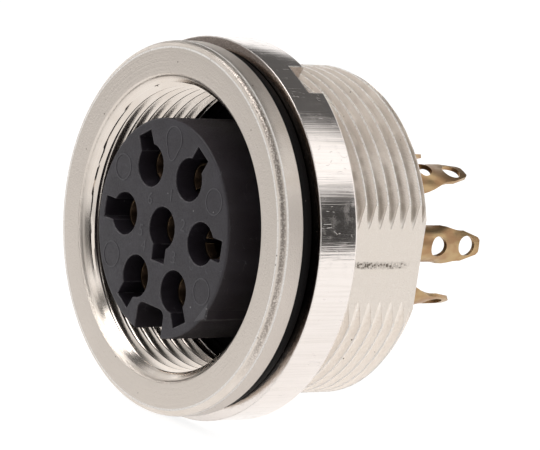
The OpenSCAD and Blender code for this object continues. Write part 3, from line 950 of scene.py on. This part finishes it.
ring_nut = turned("ring_nut_body", rounded([
    (NUT_THREAD_R + NUT_THREAD_END, NUT_Y[0], 0.03),
    (NUT_R - NUT_CHAMFER[0], NUT_Y[0], 0.03),
    (NUT_R, NUT_Y[0] + NUT_CHAMFER[1], 0.04),
    (NUT_R, NUT_Y[1], 2 * NUT_EDGE),
    (NUT_THREAD_R + NUT_THREAD_END, NUT_Y[1], 0.04),
    (NUT_THREAD_R, NUT_Y[1] - NUT_THREAD_END, 0),
    (NUT_THREAD_R, NUT_Y[0] + NUT_THREAD_END, 0),
], NUT_EDGE))
# The thread is cut outwards from the solid's bore. The nut slides without turning, so a thread
# that reached down between the barrel's crests would cut through them.
facing_start = REAR_THREAD_START + (PITCH + CREST_FLAT - NUT_CREST_FLAT) / 2
add_thread(ring_nut, bright_nickel, -1, turns=5, crest_radius=NUT_THREAD_R, depth=NUT_THREAD_DEPTH,
           crest_flat=NUT_CREST_FLAT, start=facing_start, run_out=0.1,
           low_end=NUT_Y[0] + NUT_THREAD_END, high_end=NUT_Y[1] - NUT_THREAD_END)
slots = [slot_cutter(math.radians(NUT_TURN + half_turn)) for half_turn in (0, 180)]
for cutter in slots:
    add_cut(ring_nut, cutter)
baked(ring_nut, *slots)
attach(ring_nut, "nut")
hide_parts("ring_nut")

# ---------------------------------------------------------------------------------------------
# Insert
# Moulded in dark grey plastic. Seven round holes hold the contacts, each with a slot for the
# tongue that locks its contact, and the key slot at the bottom lets the plug in one way only.
INSERT_FRONT, INSERT_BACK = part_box("insert")
FACE_Y = INSERT_FRONT[1] / MM
INSERT_BACK_Y = INSERT_BACK[1] / MM
BOSS_R = 5.9
BOSS_EDGE = 0.14
BASE_R = 6.3
INSERT_FLANGE_R = 7.4
INSERT_FLANGE_Y = 6.6
CONTACT_CIRCLE_R = 3.525
CONTACT_COUNT = 6
HOLE_R = 1.15
HOLE_EDGE = 0.05
EDGE_CUT = 0.2
SIDE_SLOT_W = 1.15
SIDE_SLOT_REACH = 1.83
SIDE_SLOT_DEPTH = 4.7
KEY_SLOT_W = 2.4
KEY_SLOT_R = 4.25
KEY_SLOT_ROUND = 0.45
KEY_SLOT_STEPS = 6
KEY_ROOM = 0.1
RIDGE_ANGLE = math.radians(128)
RIDGE_W = 1.6
RIDGE_H = 0.25
RIDGE_LEAD = 0.1
HOLE_STEPS = 48
MARK_H = 0.015
MARK_W = 0.07
MARK_FOOT = 0.1
PIN_MARK_R = 0.66
PIN_MARK_AT = 4.85
PIN_MARK_ANGLES = (0, 60, 120, 240, 300)
PIN_POINT = 0.45
PIN_POINT_SHARPNESS = 8
NUMBER_H = 0.95
NUMBER_AT = 1.9
NUMBER_ASIDE = 17
NUMBER_HALF_T = 0.05

# Moulded plastic with a faint flow pattern and grain, rubbed pale on the rims and on the raised
# marks, and dusty.
DARK_GREY = (0.018, 0.0135, 0.0185)
FLOW_GREY = (0.028, 0.023, 0.030)
RUBBED_GREY = (0.15, 0.14, 0.145)
MARK_GREY = (0.065, 0.061, 0.068)
SCUFF = (0.10, 0.10, 0.11)
DUST = (0.30, 0.29, 0.29)
paint = Paint("insert_plastic", DARK_GREY, 0.42)
_, y, _ = paint.axes(paint.place)
grain = paint.effect(fine_grain, across=0.07, along=0.07)
flow = paint.effect(fine_grain, across=1.1, along=3)
paint.tint(FLOW_GREY, paint.fade(flow, 0.35, 0.7))
paint.roughen(0.6, paint.fade(grain, 0.35, 0.7))
paint.tint(RUBBED_GREY, paint.effect(edge_wear, width=0.09, breakup=0.5))
paint.tint(MARK_GREY, paint.fade(y, FACE_Y + 0.008, FACE_Y + 0.003))
scuffs = paint.effect(scratches, across=0.5, along=0.5, thickness=0.01, share=0.42)
paint.tint(SCUFF, scuffs)
dust = paint.effect(specks, spacing=0.8, size=0.05, share=0.4)
paint.tint(DUST, dust)
insert_plastic = paint.finish(paint.calc("ADD", grain, flow), 0.008)


def prism(name, outline_at, levels):
    """A solid along the axis. outline_at(grow) gives (x, z) points; levels are (y, grow)."""
    return lofted(name, [[Vector((x, y, z)) * MM for x, z in outline_at(grow)] for y, grow in levels])


def keyhole(grow):
    """A contact hole with its slot towards +z, grown outwards by grow."""
    r, half = HOLE_R + grow, SIDE_SLOT_W / 2 + grow
    gap = math.asin(half / r)
    reach = SIDE_SLOT_REACH + grow
    outline = [(half, reach), (-half, reach)]
    for k in range(HOLE_STEPS + 1):
        a = -gap - (math.tau - 2 * gap) * k / HOLE_STEPS
        outline.append((r * math.sin(a), r * math.cos(a)))
    return outline


def round_hole(grow):
    """A plain round hole, grown outwards by grow."""
    r = HOLE_R + grow
    return [(r * math.sin(a), r * math.cos(a))
            for a in (-math.tau * k / HOLE_STEPS for k in range(HOLE_STEPS))]


def key_slot(grow):
    """The key slot at the bottom, open outwards, with rounded inner corners."""
    half, floor_r = KEY_SLOT_W / 2 + grow, KEY_SLOT_R - grow
    outline = [(-half, -BOSS_R - CUT_PAST)]
    for cx, start in ((-half + KEY_SLOT_ROUND, 180), (half - KEY_SLOT_ROUND, 90)):
        for k in range(KEY_SLOT_STEPS + 1):
            a = math.radians(start - 90 * k / KEY_SLOT_STEPS)
            z = -floor_r - KEY_SLOT_ROUND + KEY_SLOT_ROUND * math.sin(a)
            outline.append((cx + KEY_SLOT_ROUND * math.cos(a), z))
    outline.append((half, -BOSS_R - CUT_PAST))
    return outline


def ridge(grow):
    """The small ridge on the boss, pointing up."""
    foot_r = BOSS_R - RIDGE_H
    return [(-RIDGE_W / 2, foot_r), (0, BOSS_R + RIDGE_H - grow), (RIDGE_W / 2, foot_r)]


def contact_places_tree():
    """Puts a copy of the incoming mesh at each contact, turned outwards, the middle one down."""
    nodes, given = mesh_tree("contact_places", ("Circle Radius",), ("Count",))

    # One point for each outer contact, half a step on from the top.
    points = nodes.add("GeometryNodePoints", {"Count": given["Count"]})
    index = nodes.add("GeometryNodeInputIndex").outputs[0]
    share = nodes.calc("DIVIDE", nodes.calc("ADD", index, 0.5), given["Count"])
    shifted = nodes.add("GeometryNodeTransform", {
        "Geometry": given["Geometry"], "Translation": nodes.joined(Z=given["Circle Radius"])})
    outer = nodes.add("GeometryNodeInstanceOnPoints", {
        "Points": points.outputs[0], "Instance": shifted.outputs[0],
        "Rotation": nodes.joined(Y=nodes.product(share, math.tau))})
    middle = nodes.add("GeometryNodeTransform", {
        "Geometry": given["Geometry"], "Rotation": (0, math.pi, 0)})
    return close_tree(nodes, given, joined_meshes(nodes, outer.outputs[0], middle.outputs[0]))


contact_places = contact_places_tree()


def at_contacts(piece, material):
    """The piece repeated at the seven contacts, as one mesh."""
    add_tree(piece, contact_places, circle_radius=CONTACT_CIRCLE_R * MM, count=CONTACT_COUNT,
             material=material)
    return baked(piece)


def add_union(piece, other):
    """Joins another solid to a piece."""
    modifier = add_cut(piece, other)
    modifier.operation = "UNION"
    return modifier


def key_tab(name, start_y, end_y):
    """A tab that sits in the key groove of the housing's rear bore, with some room round it."""
    half = KEY_GROOVE_W / 2 - KEY_ROOM
    return box_solid(name, (-half, start_y, INSERT_FLANGE_R - CUT_INTO),
                     (half, end_y, KEY_GROOVE_R - KEY_ROOM))


insert = turned("insert_body", rounded([
    (0, FACE_Y + MARK_H, 0),
    (BOSS_R, FACE_Y + MARK_H, BOSS_EDGE),
    (BOSS_R, LIP_Y[0], 0),
    (BASE_R, LIP_Y[0], 0.05),
    (BASE_R, INSERT_FLANGE_Y, 0),
    (INSERT_FLANGE_R, INSERT_FLANGE_Y, 0.05),
    (INSERT_FLANGE_R, INSERT_BACK_Y, 0.05),
    (0, INSERT_BACK_Y, 0),
], 0.05))
insert.data.materials.append(insert_plastic)
insert_ridge = prism("insert_ridge", ridge, (
    (FACE_Y, RIDGE_LEAD), (FACE_Y + RIDGE_LEAD, 0), (LIP_Y[0], 0)))
insert_ridge.data.transform(Matrix.Rotation(RIDGE_ANGLE, 4, "Y"))
insert_key = key_tab("insert_key", INSERT_FLANGE_Y, INSERT_BACK_Y)
edge_levels = ((FACE_Y - EDGE_CUT, HOLE_EDGE + EDGE_CUT), (FACE_Y + HOLE_EDGE, 0))
key_way = prism("key_way", key_slot, (*edge_levels, (LIP_Y[0], 0)))
key_holes = at_contacts(prism(
    "key_holes", keyhole, (*edge_levels, (FACE_Y + SIDE_SLOT_DEPTH, 0))), insert_plastic)
round_holes = at_contacts(prism("round_holes", round_hole, (
    (FACE_Y + CUT_PAST, 0), (INSERT_BACK_Y + CUT_PAST, 0))), insert_plastic)
add_union(insert, insert_ridge)
add_union(insert, insert_key)
for cutter in (key_way, key_holes, round_holes):
    add_cut(insert, cutter)
baked(insert, insert_ridge, insert_key, key_way, key_holes, round_holes)
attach(insert, "socket")
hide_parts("insert")

# Low raised marks on the face: round marks from the mould's pins, one with a point, and numbers.
marks = bmesh.new()


def pin_mark(angle, point):
    """A thin raised outline at an angle on the face, with a point towards the middle."""
    section = ((FACE_Y, 0), (FACE_Y, MARK_W), (FACE_Y + MARK_FOOT, MARK_W), (FACE_Y + MARK_FOOT, 0))
    points = []
    for y, grow in section:
        for k in range(HOLE_STEPS):
            a = math.tau * k / HOLE_STEPS
            r = PIN_MARK_R + grow + point * max(0, -math.cos(a)) ** PIN_POINT_SHARPNESS
            points.append(Vector((r * math.sin(a), y, r * math.cos(a) + PIN_MARK_AT)) * MM)
    outline = solid("pin_mark", points, faces_between(len(section), HOLE_STEPS))
    outline.data.transform(Matrix.Rotation(math.radians(angle), 4, "Y"))
    marks.from_mesh(outline.data)
    bpy.data.objects.remove(outline)


def number_mark(number, angle, r):
    """A raised number on the face, upright with the key slot at the bottom."""
    text = bpy.data.curves.new("number", "FONT")
    text.body = str(number)
    text.size = NUMBER_H * MM
    text.extrude = NUMBER_HALF_T * MM
    text.resolution_u = 3
    text.align_x = "CENTER"
    text.align_y = "CENTER"
    piece = bpy.data.objects.new("number", text)
    bpy.context.scene.collection.objects.link(piece)
    bpy.context.view_layer.update()
    mesh = bpy.data.meshes.new_from_object(piece)
    a = math.radians(angle)
    place = Vector((r * math.sin(a), FACE_Y + NUMBER_HALF_T, r * math.cos(a))) * MM
    mesh.transform(Matrix.Translation(place) @ Matrix.Rotation(math.pi / 2, 4, "X"))
    marks.from_mesh(mesh)
    bpy.data.objects.remove(piece)
    bpy.data.curves.remove(text)
    bpy.data.meshes.remove(mesh)


for angle in PIN_MARK_ANGLES:
    pin_mark(angle, PIN_POINT if angle == 0 else 0)
for number in range(1, CONTACT_COUNT + 1):
    aside = NUMBER_ASIDE if number == 4 else -NUMBER_ASIDE
    number_mark(number, 360 / CONTACT_COUNT * (number - 0.5) + aside, NUMBER_AT)
bmesh.ops.remove_doubles(marks, verts=marks.verts, dist=1e-7)
bmesh.ops.recalc_face_normals(marks, faces=marks.faces)
marks_mesh = bpy.data.meshes.new("insert_marks")
marks.to_mesh(marks_mesh)
marks.free()
marks_mesh.materials.append(insert_plastic)
insert_marks = bpy.data.objects.new("insert_marks", marks_mesh)
bpy.context.scene.collection.objects.link(insert_marks)
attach(insert_marks, "socket")

# ---------------------------------------------------------------------------------------------
# Insert seal, contact holder and retaining ring
# What closes the socket from behind: a rubber ring under the insert's flange, a moulded disc
# that traps the contacts, and a slotted ring that is screwed in after them.
HOLDER_FRONT, HOLDER_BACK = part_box("contact_holder")
HOLDER_Y = (HOLDER_FRONT[1] / MM, HOLDER_BACK[1] / MM)
HOLDER_T = 0.8
HOLDER_HOLE_R = 1.08
RING_FRONT, RING_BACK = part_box("retaining_ring")
RING_Y = (RING_FRONT[1] / MM, RING_BACK[1] / MM)
RING_R = 7.4
RING_BORE_R = BOSS_R + 0.1
RING_SLOT_W = 1.2
RING_SLOT_H = 0.4

# The same kind of plastic, glossier and blacker, with moulding rings round the middle.
HOLDER_BLACK = (0.016, 0.016, 0.018)
RUBBED_HOLDER = (0.06, 0.06, 0.065)
HOLDER_DUST = (0.25, 0.24, 0.23)
paint = Paint("holder_plastic", HOLDER_BLACK, 0.38)
grain = paint.effect(fine_grain, across=0.06, along=0.06)
rings = paint.effect(turning_marks, spacing=0.25)
paint.roughen(0.55, paint.fade(grain, 0.35, 0.7))
paint.tint(RUBBED_HOLDER, paint.effect(edge_wear, width=0.07, breakup=0.5))
dust = paint.effect(specks, spacing=0.7, size=0.05, share=0.4)
paint.tint(HOLDER_DUST, dust)
holder_plastic = paint.finish(paint.calc("ADD", grain, rings), 0.008)

insert_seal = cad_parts["insert_seal"]
insert_seal.data.materials.clear()
insert_seal.data.materials.append(rubber)


def holder_hole(grow):
    """A hole in the contact holder, round a contact's tube."""
    scale = (HOLDER_HOLE_R + grow) / HOLE_R
    return [(x * scale, z * scale) for x, z in round_hole(0)]


holder = turned("holder_disc", rounded([
    (0, HOLDER_Y[0], 0),
    (INSERT_FLANGE_R, HOLDER_Y[0], 0.05),
    (INSERT_FLANGE_R, HOLDER_Y[0] + HOLDER_T, 0.05),
    (BOSS_R, HOLDER_Y[0] + HOLDER_T, 0),
    (BOSS_R, HOLDER_Y[1], 0.2),
    (0, HOLDER_Y[1], 0),
], 0.05))
holder.data.materials.append(holder_plastic)
holder_key = key_tab("holder_key", HOLDER_Y[0], HOLDER_Y[0] + HOLDER_T)
holder_holes = at_contacts(prism("holder_holes", holder_hole, (
    (HOLDER_Y[0] - CUT_PAST, 0), (HOLDER_Y[1] - HOLE_EDGE, 0),
    (HOLDER_Y[1] + EDGE_CUT, HOLE_EDGE + EDGE_CUT))), holder_plastic)
add_union(holder, holder_key)
add_cut(holder, holder_holes)
baked(holder, holder_key, holder_holes)
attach(holder, "socket")
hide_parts("contact_holder")

ring = turned("ring_body", rounded([
    (RING_BORE_R, RING_Y[0], 0),
    (RING_R, RING_Y[0], 0.05),
    (RING_R, RING_Y[1], 0.05),
    (RING_BORE_R, RING_Y[1], 0.05),
], 0.05))
ring.data.materials.append(nickel)
ring_slots = [
    box_solid(f"ring_slot_{angle}", (-RING_SLOT_W / 2, RING_Y[1] - RING_SLOT_H, BOSS_R - CUT_INTO),
              (RING_SLOT_W / 2, RING_Y[1] + CUT_PAST, RING_R + CUT_INTO), math.radians(angle))
    for angle in (90, 270)]
for cutter in ring_slots:
    add_cut(ring, cutter)
baked(ring, *ring_slots)
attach(ring, "socket")
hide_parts("retaining_ring")

# ---------------------------------------------------------------------------------------------
# Contacts
# Stamped from brass sheet, rolled and gold plated: a split socket in front, a rolled tube with
# an open seam, and a flat solder tag with two wire holes. A tongue locks each in its slot.
CONTACT_FRONT, CONTACT_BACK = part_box("contact_7")
CONTACT_Y = (CONTACT_FRONT[1] / MM, CONTACT_BACK[1] / MM)
SOCKET_R = 0.95
SOCKET_BORE_R = 0.55
SOCKET_L = 3.6
LEAD_IN_R = 0.8
LEAD_IN_L = 0.4
SLIT_W = 0.25
SLIT_DEPTH = 2
SHEET_T = 0.3
TUBE_R = 0.87
SEAM_HALF = 0.23
TUBE_LAP = 0.2
TUBE_END_Y = 12.7
TAG_HALF = 0.83
TAG_LIFT = 0.55
TAG_TROUGH_R = 3.2
TAG_TAPER = 1.2
TAG_CROWN = 0.06
TAG_START_Y = 15.6
TAG_T = 0.22
TIP_HALF = 0.4
TIP_CORNER = 0.08
TIP_CUT = 0.15
TIP_T = 0.2
WIRE_HOLE_R = 0.565
WIRE_HOLE_GAP = 0.92
WIRE_HOLE_PITCH = 2.15
WIRE_HOLE_CUT = (0.15, 2)
WIRE_HOLE_STEPS = 32
LANCE_W = 0.9
LANCE_L = 2
LANCE_BITE = 0.05
LANCE_ROOM = 0.1
TWISTS = (-9, -2, 3, 2, -3, 4, -4)
TWIST_L = 1.5
CONTACT_STEPS = 48
CONTACT_SHARP = math.radians(40)

# Thin gold over brass: rolled lines along the sheet, redder and duller in patches, and painted shade
# on the fronts of the sockets, down in the holes.
GOLD = (0.46, 0.32, 0.17)
RED_GOLD = (0.40, 0.24, 0.125)
PAINTED_SHADE_SOCKETS = (0.035, 0.022, 0.014)
TARNISH = (0.22, 0.13, 0.07)
RUBBED_GOLD = (0.60, 0.42, 0.22)
SOCKET_SHADE_Y = (3.4, 2.4)
paint = Paint("gold_plate", GOLD, 0.3, 1.0)
_, y, _ = paint.axes(paint.place)
lines = paint.effect(fine_grain, across=0.05, along=1.6)
patches = paint.effect(fine_grain, across=0.7, along=1.1)
grain = paint.effect(fine_grain, across=0.09, along=0.09)
dull = paint.fade(patches, 0.38, 0.66)
paint.tint(RED_GOLD, dull)
paint.roughen(0.45, dull)
# Painted shade on the fronts of the sockets.
paint.tint(PAINTED_SHADE_SOCKETS, paint.fade(y, *SOCKET_SHADE_Y))
paint.tint(TARNISH, paint.effect(specks, spacing=0.9, size=0.09, share=0.35))
paint.tint(RUBBED_GOLD, paint.effect(edge_wear, width=0.04, breakup=0.3))
gold = paint.finish(paint.calc("ADD", lines, paint.product(grain, 0.6)), 0.008)


def sheet_section(y, half_width, bend_r, height, thickness=SHEET_T, steps=28):
    """A ring of points round the sheet where it is bent to a radius, open side down."""
    outer, inner = [], []
    for k in range(steps + 1):
        a = half_width / bend_r * (2 * k / steps - 1)
        for line, r in ((outer, bend_r + SHEET_T / 2), (inner, bend_r + SHEET_T / 2 - thickness)):
            line.append(Vector((r * math.sin(a), y, height - bend_r + r * math.cos(a))) * MM)
    return outer + inner[::-1]


# Where the tube is trimmed to half a pipe and then flattened: how far back, half the width of
# the sheet, the radius that it is bent to, the height of its middle line, and its thickness.
FLATTENED = (
    (13.0, 2.0, TUBE_R, TUBE_R, SHEET_T), (13.3, 1.62, TUBE_R, TUBE_R, SHEET_T),
    (13.7, 1.42, TUBE_R, TUBE_R, SHEET_T), (14.1, 1.33, 0.88, 0.86, 0.28),
    (14.4, 1.2, 1.0, 0.82, 0.26), (14.7, 1.05, 1.25, 0.75, 0.24),
    (15.0, 0.93, 1.7, 0.69, 0.23), (15.3, 0.85, 2.4, 0.64, 0.22))


def rolled_sheet():
    """The sheet from the rolled tube to the tag's tip."""
    full = TUBE_R * (math.pi - SEAM_HALF)
    flat = TAG_LIFT + TAG_CROWN
    tip = CONTACT_Y[1]
    tube = [(y, full, TUBE_R, TUBE_R) for y in (CONTACT_Y[0] + SOCKET_L - TUBE_LAP, TUBE_END_Y)]
    tag = [
        (TAG_START_Y, TAG_HALF, TAG_TROUGH_R, flat, TAG_T),
        (tip - TAG_TAPER, TAG_HALF, TAG_TROUGH_R, flat, TAG_T),
        (tip - TIP_CUT, TIP_HALF + TIP_CORNER, TAG_TROUGH_R, flat, TAG_T),
        (tip, TIP_HALF - TIP_CORNER, TAG_TROUGH_R, flat, TIP_T)]
    sections = [sheet_section(*section) for section in (*tube, *FLATTENED, *tag)]
    return lofted("rolled_sheet", sections)


def contact_form():
    """One contact on the Y axis, its tag towards +Z."""
    y0, y1 = CONTACT_Y
    form = turned("contact_form", rounded([
        (LEAD_IN_R, y0, 0.03), (SOCKET_R, y0, 0.07), (SOCKET_R, y0 + SOCKET_L, 0),
        (SOCKET_BORE_R, y0 + SOCKET_L, 0), (SOCKET_BORE_R, y0 + LEAD_IN_L, 0.2),
    ], 0.05), CONTACT_STEPS)
    form.data.materials.append(gold)
    sheet = rolled_sheet()
    slit = box_solid("slit", (-SLIT_W / 2, y0 - CUT_PAST, -SLIT_DEPTH), (SLIT_W / 2, y0 + SOCKET_L, 0))
    lance_back = FACE_Y + SIDE_SLOT_DEPTH
    lance_levels = ((lance_back - LANCE_L, SOCKET_R - SHEET_T - LANCE_BITE),
                    (lance_back, SIDE_SLOT_REACH - LANCE_ROOM - SHEET_T))
    lance_section = ((-LANCE_W / 2, 0), (LANCE_W / 2, 0), (LANCE_W / 2, SHEET_T), (-LANCE_W / 2, SHEET_T))
    lance = lofted("lance", [
        [Vector((x, y, z + dz)) * MM for x, dz in lance_section] for y, z in lance_levels])
    holes = []
    for k in range(2):
        hole_y = y1 - WIRE_HOLE_GAP - WIRE_HOLE_PITCH * k
        holes.append(lofted(f"wire_hole_{k}", [
            [Vector((WIRE_HOLE_R * math.sin(a), hole_y + WIRE_HOLE_R * math.cos(a), z)) * MM
             for a in (math.tau * j / WIRE_HOLE_STEPS for j in range(WIRE_HOLE_STEPS))]
            for z in WIRE_HOLE_CUT]))
    add_cut(form, slit)
    add_union(form, sheet)
    add_union(form, lance)
    for hole in holes:
        add_cut(form, hole)
    return baked(form, slit, sheet, lance, *holes, sharp=CONTACT_SHARP)


form = contact_form()
for number in range(1, CONTACT_COUNT + 2):
    middle = number > CONTACT_COUNT
    angle = math.pi if middle else math.tau / CONTACT_COUNT * (number - 0.5)
    out_by = 0 if middle else CONTACT_CIRCLE_R * MM
    mesh = form.data.copy()
    # The twist starts at the end of the tube and is complete before the flat tag begins.
    for vertex in mesh.vertices:
        share = min(max((vertex.co.y / MM - TUBE_END_Y) / TWIST_L, 0), 1)
        vertex.co = Matrix.Rotation(math.radians(TWISTS[number - 1] * share), 3, "Y") @ vertex.co
    mesh.transform(Matrix.Rotation(angle, 4, "Y") @ Matrix.Translation((0, 0, out_by)))
    contact = bpy.data.objects.new(f"gold_contact_{number}", mesh)
    bpy.context.scene.collection.objects.link(contact)
    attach(contact, "socket")
    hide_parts(f"contact_{number}")
bpy.data.objects.remove(form)
